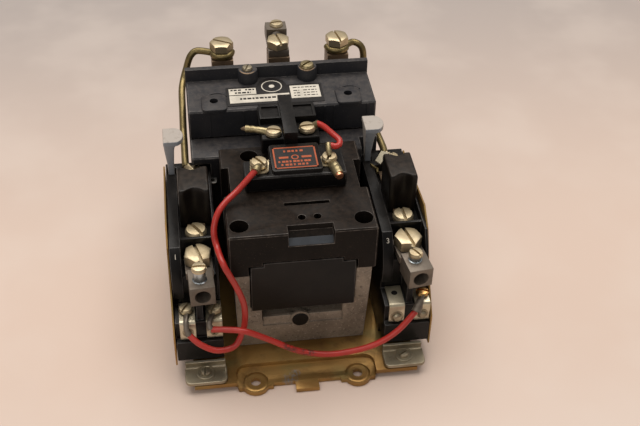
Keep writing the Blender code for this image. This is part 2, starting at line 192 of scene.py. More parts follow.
def moulding(name, deep, pale, dust, roughness, dusty, speckle, gloss):
    """A phenolic moulding: mottled, dusty on top, with pale specks and rubbed patches."""
    f = Finish(name)
    cloud = f.noise(60, 4, 0.6)
    grain = f.noise(1100, 2, 0.5)
    rubbed = f.ramp(f.noise(90, 4, 0.65, (1, 1, 0.6)), 0.5, 0.68)
    up = f.ramp(f.facing("Z"), 0.5, 0.95)
    film = (f.ramp(f.noise(340, 6, 0.75), 0.3, 0.75) * up * dusty).clip()
    body = f.mix(f.ramp(cloud, 0.3, 0.7), deep, pale)
    body = f.mix(film, body, dust)
    flecks = (f.ramp(f.noise(1500, 1, 0.4), 0.7, 0.76) * speckle).clip()
    body = f.mix(flecks, body, shade(dust, 2.2))
    rough = roughness + film * 0.2 - rubbed * 0.08
    return f.done(body, rough, 0.0, f.bump(grain + cloud * 0.3, 0.14, 0.0002),
                  Specular_IOR_Level=gloss)


def worn(name, base, wear, roughness):
    """The rubbed, paler edge of a moulding, broken up where the edge is still sharp."""
    f = Finish(name)
    kept = f.ramp(f.noise(210, 5, 0.7), 0.40, 0.62)
    bump = f.bump(f.noise(900, 2, 0.6), 0.15, 0.0002)
    return f.done(f.mix(kept, wear, base), roughness, 0.0, bump, Specular_IOR_Level=0.35)


def plated(name, bright, dull, roughness, spots=0.3, metallic=1.0):
    """Plated steel: cloudy plating with dull spots, fine scratches, and grime in its hollows."""
    f = Finish(name)
    cloud = f.ramp(f.noise(90, 4, 0.6), 0.36, 0.68)
    pits = f.ramp(f.noise(650, 3, 0.6), 0.6, 0.72) * spots
    scratch = f.noise(500, 2, 0.6, (1, 6, 1))
    body = f.mix((cloud * 0.7 + pits).clip(), bright, dull)
    rough = roughness + cloud * 0.14 + pits * 0.3 + (scratch - 0.5) * 0.14
    return f.done(body, rough, metallic, f.bump(scratch, 0.1, 0.00012))


def chromate_sheet():
    """Yellow chromate: gold, olive and brown clouds, with grey scuffs where the film is gone."""
    f = Finish("yellow_chromate")
    cloud = f.ramp(f.noise(30, 4, 0.6), 0.32, 0.68)
    green = f.ramp(f.noise(55, 3, 0.5, (1, 1.6, 1)), 0.5, 0.72) * 0.6
    stain = f.ramp(f.noise(85, 5, 0.7), 0.5, 0.72) * 0.6
    bare = f.ramp(f.noise(150, 4, 0.7, (2.4, 0.8, 1)), 0.7, 0.78) * 0.7
    body = f.mix(cloud, (0.40, 0.235, 0.075), (0.27, 0.15, 0.045))
    body = f.mix(green, body, (0.27, 0.225, 0.085))
    body = f.mix(stain, body, (0.13, 0.07, 0.028))
    body = f.mix(bare, body, (0.40, 0.38, 0.34))
    scuff = 0
    for spot, reach in (((-0.0085, -0.0845, 0.0024), 0.0050), ((-0.0050, -0.0805, 0.0024), 0.0030)):
        patch = f.close_to(spot, reach * 0.3, reach)
        scuff = patch * f.ramp(f.noise(330, 5, 0.75, (2.6, 1, 1)), 0.44, 0.56) + scuff
    body = f.mix(scuff.clip(), body, (0.27, 0.26, 0.25))
    fine = f.noise(700, 2, 0.6, (1, 5, 1))
    return f.done(body, 0.36 + stain * 0.25 + (fine - 0.5) * 0.16, 0.72, f.bump(fine, 0.1, 0.00015))


def rough_casting():
    """A sand-rough grey-brown casting."""
    f = Finish("casting")
    lumps = f.noise(260, 6, 0.7)
    pits = f.ramp(f.noise(620, 3, 0.7), 0.56, 0.72)
    cloud = f.ramp(f.noise(60, 4, 0.6), 0.35, 0.68)
    body = f.mix(cloud, (0.30, 0.245, 0.19), (0.18, 0.142, 0.108))
    body = f.mix(pits * 0.6, body, (0.07, 0.052, 0.038))
    body = f.mix(f.ramp(f.noise(900, 2, 0.5), 0.6, 0.68) * 0.5, body, (0.44, 0.38, 0.31))
    return f.done(body, 0.6 + pits * 0.2, 0.2, f.bump(lumps * 0.8 - pits * 0.5, 0.7, 0.0008))


def wire_vinyl():
    """Wire insulation: glossy and faintly ribbed, with dark scuffs where two wires cross."""
    f = Finish("wire_vinyl")
    red = (0.44, 0.025, 0.017)
    body = f.mix(f.ramp(f.noise(60, 3, 0.5), 0.35, 0.7) * 0.6, red, shade(red, 0.72))
    grime = f.ramp(f.noise(260, 5, 0.7), 0.6, 0.72) * 0.35
    body = f.mix(grime, body, (0.10, 0.012, 0.012))
    for spot, reach in (((-0.0085, -0.0805, 0.0205), 0.006), ((0.0005, -0.0810, 0.0168), 0.0055)):
        patch = f.close_to(spot, reach * 0.35, reach) * f.ramp(f.noise(520, 4, 0.7), 0.42, 0.56)
        body = f.mix(patch.clip() * 0.85, body, (0.055, 0.02, 0.012))
    ribs = f.bump(f.noise(420, 2, 0.5), 0.08, 0.0002)
    return f.done(body, 0.34 + grime * 0.3, 0.0, ribs, Specular_IOR_Level=0.5)


def lever_moulding():
    """Off-white moulding speckled with grime, with a painted blue-grey shade on the faces towards
    the near edge.
    """
    f = Finish("lever_moulding")
    # painted shade: faces turned towards -Y take a blue-grey colour for the shade they sit in
    near_face_painted_shade = f.ramp(f.facing("Y") * -1, 0.45, 0.8)
    grime = f.ramp(f.noise(420, 5, 0.7), 0.52, 0.68)
    pale = f.mix(grime * 0.5, (0.405, 0.36, 0.32), (0.21, 0.165, 0.13))
    blue = f.mix(grime * 0.4, (0.30, 0.32, 0.35), (0.14, 0.14, 0.145))
    grain = f.bump(f.noise(500, 3, 0.6), 0.1, 0.0002)
    return f.done(f.mix(near_face_painted_shade, pale, blue), 0.5 + grime * 0.15, 0.0, grain)


def plain(name, colour, roughness):
    f = Finish(name)
    mottling = f.ramp(f.noise(160, 4, 0.6), 0.4, 0.68) * 0.5
    grain = f.bump(f.noise(600, 2, 0.5), 0.06, 0.0001)
    return f.done(f.mix(mottling, colour, shade(colour, 0.55)), roughness, 0.0, grain)


def many(maker, rows):
    """The looks of one maker, from rows of its arguments after the name."""
    return {name: maker(name, *row) for name, row in rows.items()}


LOOK = {
    "yellow_chromate": chromate_sheet(),
    "casting": rough_casting(),
    "lever_moulding": lever_moulding(),
    "wire_vinyl": wire_vinyl(),
    **many(moulding, {
        "phenolic": ((0.0052, 0.0036, 0.0027), (0.0085, 0.0060, 0.0044), (0.046, 0.030, 0.021), 0.5,
                     0.45, 0.25, 0.12),
        "slate_moulding": ((0.0180, 0.0185, 0.0225), (0.027, 0.0265, 0.029), (0.092, 0.078, 0.070),
                           0.5, 0.6, 0.25, 0.26),
        "black_moulding": ((0.0034, 0.0031, 0.0031), (0.0062, 0.0055, 0.0053),
                           (0.030, 0.024, 0.020), 0.36, 0.35, 0.4, 0.2),
        "black_gloss": ((0.0060, 0.0048, 0.0038), (0.012, 0.009, 0.007), (0.052, 0.035, 0.024),
                        0.36, 0.55, 0.12, 0.22),
        "cap_moulding": ((0.0042, 0.0034, 0.0030), (0.0072, 0.0056, 0.0048), (0.036, 0.030, 0.026),
                         0.42, 0.4, 0.1, 0.2),
    }),
    **many(plated, {
        "zinc": ((0.55, 0.455, 0.30), (0.34, 0.265, 0.155), 0.38, 0.35, 0.82),
        "nickel": ((0.36, 0.31, 0.22), (0.20, 0.165, 0.11), 0.36, 0.4, 0.85),
        "lug_metal": ((0.185, 0.155, 0.125), (0.115, 0.092, 0.072), 0.45, 0.35, 0.6),
        "copper": ((0.23, 0.155, 0.095), (0.12, 0.085, 0.055), 0.45, 0.5, 0.6),
        "steel": ((0.34, 0.33, 0.31), (0.20, 0.19, 0.175), 0.4),
        "rod_metal": ((0.26, 0.20, 0.09), (0.13, 0.10, 0.045), 0.34, 0.5, 0.9),
        "brass_screw": ((0.62, 0.36, 0.13), (0.36, 0.17, 0.07), 0.26),
        "bare_copper": ((0.80, 0.36, 0.20), (0.50, 0.20, 0.10), 0.34, 0.2),
        "bright_clip": ((0.62, 0.555, 0.42), (0.40, 0.35, 0.23), 0.3, 0.3, 0.78),
        "blued_steel": ((0.42, 0.47, 0.50), (0.24, 0.25, 0.26), 0.25),
        "crimp_metal": ((0.36, 0.295, 0.165), (0.17, 0.13, 0.065), 0.34, 0.45, 0.85),
    }),
    **many(plain, {
        "coil_wrap": ((0.14, 0.065, 0.022), 0.5),
        "label_black": ((0.012, 0.0098, 0.0095), 0.34),
        "label_orange": ((0.40, 0.075, 0.016), 0.5),
        "label_white": ((0.66, 0.61, 0.52), 0.4),
        # painted sheen: a blue-grey colour for the light reflected by the black cover's sloped lip
        "lip_blue": ((0.030, 0.036, 0.045), 0.45),
    }),
    **many(worn, {
        "slate_edge": ((0.032, 0.030, 0.030), (0.135, 0.125, 0.118), 0.45),
        "phenolic_edge": ((0.014, 0.010, 0.008), (0.088, 0.070, 0.058), 0.42),
        "black_edge": ((0.0075, 0.0068, 0.0064), (0.040, 0.036, 0.034), 0.34),
    }),
}


# shapes

EDGES = {"slate_moulding": "slate_edge", "phenolic": "phenolic_edge",
         "black_moulding": "black_edge"}
SOLID_LOOKS = {"armature_cap": "cap_moulding"}
MERGE_DISTANCE = 2e-6
FLAT_ANGLE = 0.6
SHARP_ANGLE = 32
HEAD_SHARP_ANGLE = 28
SCREW_SHARP_ANGLE = 26
SLOT_LENGTH = 16


def add_object(name, data):
    piece = bpy.data.objects.new(name, data)
    bpy.context.scene.collection.objects.link(piece)
    return piece


def mesh_from(name, work):
    mesh = bpy.data.meshes.new(name)
    work.to_mesh(mesh)
    work.free()
    return mesh


def smooth(mesh, angle):
    """Shades a mesh smooth, with sharp edges where it turns by more than the angle."""
    mesh.shade_smooth()
    mesh.set_sharp_from_angle(angle=math.radians(angle))


def settle(piece, look, body, *replaced):
    """Gives a piece its look, its body and the solids that it stands in for."""
    if look:
        piece.data.materials.clear()
        piece.data.materials.append(LOOK[look])
    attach(piece, body)
    look in RECORD_SLOTS
    if replaced:
        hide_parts(*replaced)
    return piece


def finish_mesh(name, work, look, body="starter", *replaced, angle=SHARP_ANGLE):
    """Turns a bmesh into a finished piece that rides on the body."""
    bmesh.ops.recalc_face_normals(work, faces=work.faces)
    piece = add_object(name, mesh_from(name, work))
    smooth(piece.data, angle)
    return settle(piece, look, body, *replaced)


def evaluate(piece):
    """Bakes a piece's modifiers into its mesh."""
    graph = bpy.context.evaluated_depsgraph_get()
    mesh = bpy.data.meshes.new_from_object(piece.evaluated_get(graph), depsgraph=graph)
    piece.modifiers.clear()
    piece.data = mesh
    return piece


def soften(piece, width, segments=2, angle=SHARP_ANGLE):
    edge = piece.modifiers.new("soft_edges", "BEVEL")
    edge.width = width * MM
    edge.segments = segments
    edge.limit_method = "ANGLE"
    edge.angle_limit = math.radians(angle)
    edge.harden_normals = True
    edge.use_clamp_overlap = True
    return piece


def rounded_copy(node, width, segments=2):
    """The same solid as a CAD node with its flats merged and its edges rounded."""
    work = bmesh.new()
    work.from_mesh(frame["nodes"][node].data)
    bmesh.ops.remove_doubles(work, verts=work.verts, dist=MERGE_DISTANCE)
    bmesh.ops.dissolve_limit(work, angle_limit=math.radians(FLAT_ANGLE), verts=work.verts,
                             edges=work.edges)
    bodies = frame["record"]["behaviour"]["bodies"]
    body = next(b for b, names in bodies.items() if node in names)
    slot = SLOT_OF[node]
    edge = EDGES.get(slot)
    piece = add_object(node + "_finished", mesh_from(node + "_finished", work))
    piece.data.shade_smooth()
    piece.data.materials.append(LOOK[SOLID_LOOKS.get(node, slot)])
    if edge:
        piece.data.materials.append(LOOK[edge])
    soften(piece, width, segments).modifiers[-1].material = 1 if edge else -1
    evaluate(piece)
    settle(piece, None, body, node)
    return piece


def arc(u, v, wide, tall, angles):
    """Points on an ellipse about (u, v), at angles in degrees."""
    turns = [math.radians(a) for a in angles]
    return [(u + wide * math.cos(a), v + tall * math.sin(a)) for a in turns]


def circle(u, v, radius, steps=32):
    turns = [2 * math.pi * k / steps for k in range(steps)]
    return [(u + radius * math.cos(a), v + radius * math.sin(a)) for a in turns]


def rect(u, v):
    return [(u[0], v[0]), (u[1], v[0]), (u[1], v[1]), (u[0], v[1])]


def rounded(u, v, radius, steps=5):
    """A rectangle with rounded corners."""
    points = []
    for cu, cv, first in ((u[1], v[1], 0), (u[0], v[1], 90), (u[0], v[0], 180), (u[1], v[0], 270)):
        mu = cu - radius if cu == u[1] else cu + radius
        mv = cv - radius if cv == v[1] else cv + radius
        points += arc(mu, mv, radius, radius,
                      [first + 90 * step / steps for step in range(steps + 1)])
    return points


def ring_at(work, points, z):
    return [work.verts.new(Vector((u, v, z)) * MM) for u, v in points]


def bridge(work, rings):
    """Joins each ring to the next. A ring of one point is a tip."""
    for low, high in zip(rings, rings[1:]):
        count = max(len(low), len(high))
        for k in range(count):
            n = (k + 1) % count
            if len(low) == 1:
                work.faces.new((low[0], high[n], high[k]))
            elif len(high) == 1:
                work.faces.new((low[k], low[n], high[0]))
            else:
                work.faces.new((low[k], low[n], high[n], high[k]))


def loft(work, rings):
    """A closed solid through the rings."""
    bridge(work, rings)
    work.faces.new(rings[-1])
    work.faces.new(rings[0][::-1])


def frames_along(path):
    """A steady pair of cross directions at each point of a path."""
    pairs = []
    side = None
    for index, point in enumerate(path):
        ahead = path[min(index + 1, len(path) - 1)] - path[max(index - 1, 0)]
        ahead.normalize()
        if side is None:
            side = ahead.orthogonal().normalized()
        side = (side - ahead * side.dot(ahead)).normalized()
        pairs.append((side, ahead.cross(side)))
    return pairs


def swept(work, path, radii, steps, flat=None):
    """Adds a tube to the bmesh. radii and flat follow the path; flat squeezes the tube."""
    path = [Vector(p) * MM for p in path]
    rings = []
    for index, (point, (side, up)) in enumerate(zip(path, frames_along(path))):
        wide = radii[index] * MM
        thin = wide * (flat[index] if flat else 1.0)
        ring = []
        for k in range(steps):
            a = 2 * math.pi * k / steps
            spot = point + side * (wide * math.cos(a)) + up * (thin * math.sin(a))
            ring.append(work.verts.new(spot))
        rings.append(ring)
    loft(work, rings)


def smooth_route(points, spacing):
    path = [Vector(p) for p in points]
    path = [2 * path[0] - path[1]] + path + [2 * path[-1] - path[-2]]
    found = []
    for index in range(1, len(path) - 2):
        a, b, c, d = path[index - 1 : index + 3]
        steps = max(1, round((c - b).length / spacing))
        for step in range(steps):
            t = step / steps
            bend = (2 * a - 5 * b + 4 * c - d) * t**2
            twist = (3 * b - a - 3 * c + d) * t**3
            found.append(0.5 * (2 * b + (c - a) * t + bend + twist))
    found.append(path[-2])
    return found


def extruded(work, outline, axis, low, high):
    """Adds an outline of (u, v) points, extruded along the axis, to the bmesh."""
    order = {"X": (2, 0, 1), "Y": (0, 2, 1), "Z": (0, 1, 2)}[axis]
    near, far = (
        [work.verts.new(Vector([(u, v, w)[i] for i in order]) * MM) for u, v in outline]
        for w in (low, high)
    )
    work.faces.new(near)
    work.faces.new(far[::-1])
    for k in range(len(near)):
        n = (k + 1) % len(near)
        work.faces.new((near[n], near[k], far[k], far[n]))


def turned(work, profile, centre, steps=40):
    """Adds a profile of (radius, height) points, turned about the vertical through the centre."""
    rings = []
    for radius, height in profile:
        spot = Vector((centre[0], centre[1], centre[2] + height)) * MM
        reach = radius * MM
        turns = [2 * math.pi * k / steps for k in range(steps if radius else 1)]
        rings.append([work.verts.new(spot + Vector((reach * math.cos(a), reach * math.sin(a),
                                                    0))) for a in turns])
    bridge(work, rings)


def band(inner, outer, tall):
    """The profile of a flat ring."""
    return [(inner, 0), (outer, 0), (outer, tall), (inner, tall), (inner, 0)]


def add_solids(name, solids, look, width=0.3, segments=2):
    """Extruded (outline, axis, low, high) solids as one piece with rounded edges."""
    work = bmesh.new()
    for solid in solids:
        extruded(work, *solid)
    piece = finish_mesh(name, work, look)
    return evaluate(soften(piece, width, segments)) if width else piece


def add_outline(name, outline, axis, low, high, look, width=0.3, segments=2):
    return add_solids(name, [(outline, axis, low, high)], look, width, segments)


def add_boxes(name, rows, look, width=0.3):
    """Boxes of (x, y, z) ranges as one piece."""
    return add_solids(name, [(rect(x, y), "Z", *z) for x, y, z in rows], look, width)


def add_turned(name, look, rows, steps=40, angle=SHARP_ANGLE):
    """Turned (profile, centre) solids as one piece."""
    work = bmesh.new()
    for profile, centre in rows:
        turned(work, profile, centre, steps)
    return finish_mesh(name, work, look, angle=angle)


def add_swept(name, look, rows, steps, body="starter", *replaced, angle=SHARP_ANGLE):
    """Tubes as one piece, from rows of a path, its radii and how far it is squeezed, if at all."""
    work = bmesh.new()
    for path, radii, *flat in rows:
        swept(work, path, radii, steps, *flat)
    return finish_mesh(name, work, look, body, *replaced, angle=angle)


def cut_out(piece, work):
    """Takes the solid in a bmesh out of a piece."""
    bmesh.ops.recalc_face_normals(work, faces=work.faces)
    cutter = add_object("cutter", mesh_from("cutter", work))
    cut = piece.modifiers.new("cut", "BOOLEAN")
    cut.operation = "DIFFERENCE"
    cut.solver = "EXACT"
    cut.object = cutter
    evaluate(piece)
    bpy.data.objects.remove(cutter)


def carve(piece, solids):
    """Cuts (outline, axis, low, high) solids out of a piece."""
    for solid in solids:
        work = bmesh.new()
        extruded(work, *solid)
        cut_out(piece, work)
    smooth(piece.data, SHARP_ANGLE)


def slotted(piece, top, turn, width, depth):
    """Cuts a screwdriver slot, turned by so many degrees, into the head whose top is given."""
    work = bmesh.new()
    across = (-SLOT_LENGTH / 2, SLOT_LENGTH / 2)
    extruded(work, rect(across, (-width / 2, width / 2)), "Z", -depth, depth * 2)
    spin = Matrix.Rotation(math.radians(turn), 3, "Z")
    bmesh.ops.rotate(work, verts=work.verts, cent=(0, 0, 0), matrix=spin)
    bmesh.ops.translate(work, verts=work.verts, vec=Vector(top) * MM)
    cut_out(piece, work)
    smooth(piece.data, HEAD_SHARP_ANGLE)


# camera, floor, light

CAMERA_ANGLES = (8.71, 40.0417, 1.3987)
CAMERA_PLACE = (-0.047575, -0.42413, 0.397333)
CAMERA_LENS = 58.62
FLOOR_HALF = 4.0
FLOOR_DROP = 0.00015


def make_camera():
    yaw, pitch, roll = (math.radians(a) for a in CAMERA_ANGLES)
    ahead = Vector((math.sin(yaw) * math.cos(pitch), math.cos(yaw) * math.cos(pitch),
                    -math.sin(pitch)))
    level = Vector((math.cos(yaw), -math.sin(yaw), 0))
    up = level.cross(ahead)
    right = math.cos(roll) * level + math.sin(roll) * up
    top = -math.sin(roll) * level + math.cos(roll) * up
    data = bpy.data.cameras.new("camera")
    data.sensor_width = 36
    data.lens = CAMERA_LENS
    data.clip_start = 0.02
    camera = add_object("camera", data)
    turn = Matrix((right, top, -ahead)).transposed().to_4x4()
    camera.matrix_world = Matrix.Translation(CAMERA_PLACE) @ turn
    bpy.context.scene.camera = camera


def make_floor():
    f = Finish("floor_paper")
    # painted light and shade: the paper is darkened towards the far side and lightened towards the
    # near side, as the light falls on it
    far = f.ramp(f.along("Y"), -0.03, 0.36)
    near = f.ramp(f.along("Y") * -1, 0.06, 0.22)
    colour = f.mix(far, (0.655, 0.515, 0.435), (0.385, 0.34, 0.32))
    colour = f.mix(near, colour, (0.74, 0.64, 0.575))
    colour = f.mix(f.ramp(f.noise(14, 3, 0.5), 0.4, 0.7) * 0.22, colour, (0.72, 0.63, 0.565))
    f.done(colour, 0.85, 0.0, f.bump(f.noise(1100, 2, 0.5), 0.05, 0.0002))
    work = bmesh.new()
    bmesh.ops.create_grid(work, x_segments=1, y_segments=1, size=FLOOR_HALF)
    bmesh.ops.translate(work, verts=work.verts, vec=(0, 0, -FLOOR_DROP))
    floor = add_object("floor", mesh_from("floor", work))
    floor.data.materials.append(f.material)


def area_light(name, place, aim, size, power, colour):
    data = bpy.data.lights.new(name, "AREA")
    data.shape = "RECTANGLE"
    data.size, data.size_y = size
    data.energy = power
    data.color = colour
    light = add_object(name, data)
    light.location = place
    light.rotation_euler = (Vector(aim) - Vector(place)).to_track_quat("-Z", "Y").to_euler()


def make_light():
    area_light("ceiling_light", (0.0, 0.35, 1.3), (0, 0.1, 0), (1.5, 1.1), 20.6, (1.0, 0.955, 0.90))
    area_light("room_light", (-0.5, -0.9, 0.75), (0, 0, 0), (0.7, 0.5), 2.2, (1.0, 0.95, 0.90))
    world = bpy.data.worlds.new("room")
    world.use_nodes = True
    background = world.node_tree.nodes["Background"]
    background.inputs[0].default_value = (1.0, 0.955, 0.91, 1)
    background.inputs[1].default_value = 0.30
    bpy.context.scene.world = world
    bpy.context.scene.view_settings.view_transform = "Standard"


# wires

WIRES = {
    "wire_coil": ((-18.5, -33.5, 95.4), (-27.6, -39.2, 88.5), (-34.7, -44.9, 85.5),
                  (-38.9, -49.4, 82), (-40.9, -53.9, 76), (-40.0, -58.5, 70.5), (-37.6, -70, 69),
                  (-32.4, -72, 56.5), (-29.2, -73, 45.7), (-29.1, -74, 35.5), (-30.8, -76.5, 30),
                  (-34.9, -79.5, 24.2), (-43.3, -80.8, 23.8), (-51.0, -79, 27.0),
                  (-56.0, -75.6, 30.4)),
    "wire_relays": ((-45.2, -76, 33.6), (-38.1, -77.6, 34.2), (-29.1, -80.2, 34.5),
                    (-17.6, -80, 27), (-5.1, -80.5, 18.8), (7.3, -81.5, 15.4), (18.7, -82, 15.6),
                    (32.7, -82, 19), (44.2, -80.5, 25.5), (54.4, -75.5, 33.4)),
    "wire_interlock": ((14.8, -1.6, 96.8), (17.2, -4.8, 97.3), (19.4, -10.0, 97.9),
                       (21.6, -14.9, 98.2), (23.3, -18.2, 97.9), (22.9, -20.9, 97.2),
                       (20.6, -21.9, 97.0), (18.6, -21.2, 97.3)),
}
WIRE_RADIUS = 1.5
WIRE_STEP = 1.6
SHORTEST_CORD = 0.03


def make_wires():
    for name, points in WIRES.items():
        route = smooth_route(points, WIRE_STEP)
        swell = [WIRE_RADIUS * (1 + 0.012 * math.sin(k * 1.7)) for k in range(len(route))]
        wire = add_swept(name + "_insulated", "wire_vinyl", [(route, swell)], 20, "starter", name)
        length = sum((b - a).length for a, b in zip(route, route[1:])) * MM
        if length >= SHORTEST_CORD:
            route[0] * MM
            [p * MM for p in route]


# screws

HEAD_HEIGHT = 0.28
DOME = 0.04
SLOT_SIZE = (1.4, 0.16, 0.40)


def screw_tree():
    """A slotted binding head, 1 across, on each point: its size and facing come from the point."""
    tree = bpy.data.node_groups.new("slotted_screws", "GeometryNodeTree")
    face = tree.interface
    face.new_socket("Geometry", in_out="INPUT", socket_type="NodeSocketGeometry")
    face.new_socket("Finish", in_out="INPUT", socket_type="NodeSocketMaterial")
    face.new_socket("Geometry", in_out="OUTPUT", socket_type="NodeSocketGeometry")

    def node(kind, settings, **values):
        made = tree.nodes.new(kind)
        for key, value in settings.items():
            setattr(made, key, value)
        for key, value in values.items():
            name = int(key[1:]) if key[1:].isdigit() else key.replace("_", " ")
            socket = made.inputs[name]
            if isinstance(value, bpy.types.NodeSocket):
                tree.links.new(value, socket)
            else:
                socket.default_value = value
        return made.outputs

    def maths(operation, first, second=0.0):
        return node("ShaderNodeMath", {"operation": operation}, i0=first, i1=second)[0]

    given = tree.nodes.new("NodeGroupInput").outputs
    head = node("GeometryNodeMeshCylinder", {"fill_type": "TRIANGLE_FAN"}, Vertices=32,
                Side_Segments=4, Fill_Segments=4,
                Radius=0.5, Depth=1.0)
    spot = node("GeometryNodeInputPosition", {})[0]
    parts = node("ShaderNodeSeparateXYZ", {}, i0=spot)
    out = node("ShaderNodeVectorMath", {"operation": "LENGTH"},
               i0=node("ShaderNodeCombineXYZ", {}, i0=parts[0], i1=parts[1])[0])[1]
    rise = maths("ADD", parts[2], 0.5)
    shrink = node("ShaderNodeMapRange", {"interpolation_type": "SMOOTHSTEP"},
                  i0=rise, i1=0.45, i2=1.0, i3=1.0, i4=0.86)[0]
    crown = maths("MULTIPLY", maths("SUBTRACT", 1.0, maths("MULTIPLY", maths("MULTIPLY", out, out),
                                                           4.0)), DOME)
    tall = maths("MULTIPLY", rise, HEAD_HEIGHT)
    top = maths("GREATER_THAN", rise, 0.99)
    place = node("ShaderNodeCombineXYZ", {}, i0=maths("MULTIPLY", parts[0], shrink),
                 i1=maths("MULTIPLY", parts[1], shrink),
                 i2=maths("ADD", tall, maths("MULTIPLY", crown, top)))[0]
    shaped = node("GeometryNodeSetPosition", {}, Geometry=head["Mesh"], Position=place)[0]
    bar = node("GeometryNodeMeshCube", {}, Size=SLOT_SIZE)["Mesh"]
    bar = node("GeometryNodeTransform", {}, Geometry=bar, Translation=(0, 0, HEAD_HEIGHT + DOME))[0]
    cut = node("GeometryNodeMeshBoolean", {"operation": "DIFFERENCE", "solver": "EXACT"}, i0=shaped,
               i1=bar)[0]
    size = node("GeometryNodeInputNamedAttribute", {"data_type": "FLOAT"}, Name="size")[0]
    facing = node("GeometryNodeInputNamedAttribute", {"data_type": "FLOAT_VECTOR"},
                  Name="facing")[0]
    turn = node("FunctionNodeEulerToRotation", {}, i0=facing)[0]
    spread = node("GeometryNodeInstanceOnPoints", {}, Points=given["Geometry"], Instance=cut,
                  Rotation=turn, Scale=size)[0]
    solid = node("GeometryNodeRealizeInstances", {}, Geometry=spread)[0]
    solid = node("GeometryNodeSetMaterial", {}, Geometry=solid, Material=given["Finish"])[0]
    tree.links.new(solid, tree.nodes.new("NodeGroupOutput").inputs[0])
    return tree


SCREWS = screw_tree()


def screws(name, look, rows):
    """Rows are (centre under the head, head diameter, turn, lean towards -Y); all in one mesh."""
    mesh = bpy.data.meshes.new(name)
    mesh.from_pydata([Vector(row[0]) * MM for row in rows], [], [])
    size = mesh.attributes.new("size", "FLOAT", "POINT")
    facing = mesh.attributes.new("facing", "FLOAT_VECTOR", "POINT")
    for index, (_, wide, turn, lean) in enumerate(rows):
        size.data[index].value = wide * MM
        tilt = Matrix.Rotation(math.radians(lean), 3, "X")
        facing.data[index].vector = (tilt @ Matrix.Rotation(math.radians(turn), 3, "Z")).to_euler()
    piece = add_object(name, mesh)
    modifier = piece.modifiers.new("screws", "NODES")
    modifier.node_group = SCREWS
    finish = next(item for item in SCREWS.interface.items_tree if item.name == "Finish")
    modifier[finish.identifier] = LOOK[look]
    evaluate(piece)
    smooth(piece.data, SCREW_SHARP_ANGLE)
    settle(piece, look, "starter")


def make_screws():
    left, right = RELAYS["left"], RELAYS["right"]
    screws("rim_screw", "crimp_metal", [((15.7, 48.2, 98.8), 7.6, 40, 0)])
    screws("bright_screws", "zinc", [
        ((-7.5, -4.5, 94.6), 8.0, -14, 0), ((9.4, -3.0, 94.6), 8.2, 4, 0),
        ((-16.9, -26.6, 92.6), 8.4, -57, 0), ((17.4, -25.5, 92.6), 7.6, 66, 0),
        ((left - 0.1, -38.8, 62.9), 10.4, -57, 0), ((left + 1.9, 4.6, 66.1), 8.5, 78, 0),
        ((right - 0.1, -38.8, 62.9), 10.4, -86, 0), ((right + 1.9, 4.6, 66.1), 8.5, 78, 0),
        ((-56.9, -63.8, 36.0), 6.9, 55, 0), ((-43.1, -65.3, 36.0), 6.9, 60, 0),
        ((-49.1, -66.3, 64.1), 7.2, -2, 0), ((54.6, -64.1, 60.7), 7.0, -58, 0),
        ((3.2, 84.6, 103.7), 7.4, 6, 0),
    ])
    screws("dull_screws", "nickel", [
        ((-16.1, 48.2, 99.3), 5.6, 70, 0), ((-49.5, -79.4, 7.4), 5.2, 80, 0),
        ((49.5, -79.4, 7.4), 5.2, 30, 0), ((-43.8, -71.6, 27.8), 4.2, 40, 90),
    ])
    screws("brass_screws", "brass_screw", [((59.6, -65.4, 35.8), 6.4, -20, 0)])


# mouldings and castings from the solids

# How far each solid's edges are rounded.
ROUNDED = {
    "base_plate": 0.45, "magnet_frame": 0.7, "coil_cover": 0.4, "armature_cap": 0.5,
    "coil_terminal_block": 0.4,
    "contact_block": 0.4, "interlock_base": 0.35, "load_terminal_1": 0.4, "load_terminal_2": 0.4,
    "load_terminal_3": 0.4, "line_terminal_1": 0.3, "line_terminal_2": 0.3, "line_terminal_3": 0.3,
    "load_lug": 1.1, "left_relay_base": 0.35, "right_relay_base": 0.35,
    "left_lug": 0.9, "right_lug": 0.9,
}


def ear_trim(x):
    """What lies outside the rounded ear of a mounting hole."""
    bow = arc(x, -84.2, 6.9, 6.9, range(-30, -151, -10))
    return [(x - 13, -96), (x + 13, -96), (x + 13, -87.7), *bow, (x - 13, -87.7)]


CUTS = {
    "base_plate": [(ear_trim(-25.4), "Z", -1.0, 5.0), (ear_trim(25.4), "Z", -1.0, 5.0)],
    "left_relay_base": [(rect((-66.0, -30.0), (-80.0, -60.0)), "Z", 2.0, 10.9)],
    "right_relay_base": [(rect((36.0, 70.0), (-80.0, -60.0)), "Z", 2.0, 10.9)],
    "coil_cover": [(rect((-6.4, 15.5), (-41.6, -39.1)), "Z", 76.5, 82.0),
                   (circle(0.6, -51.6, 2.0, 28), "Z", 74.0, 82.0),
                   (circle(8.3, -51.6, 2.0, 28), "Z", 74.0, 82.0)],
    "coil_terminal_block": [(rect((-28.0, -11.2), (-21.6, -6.0)), "Z", 81.0, 93.6)],
    "magnet_frame": [(rect((-19.6, 20.4), (19.4, 25.0)), "Y", -66.0, -62.3)],
    "load_lug": [([(87.6, 104.8), (95.0, 104.8), (95.0, 96.5)], "X", -8.0, 14.0)],
}


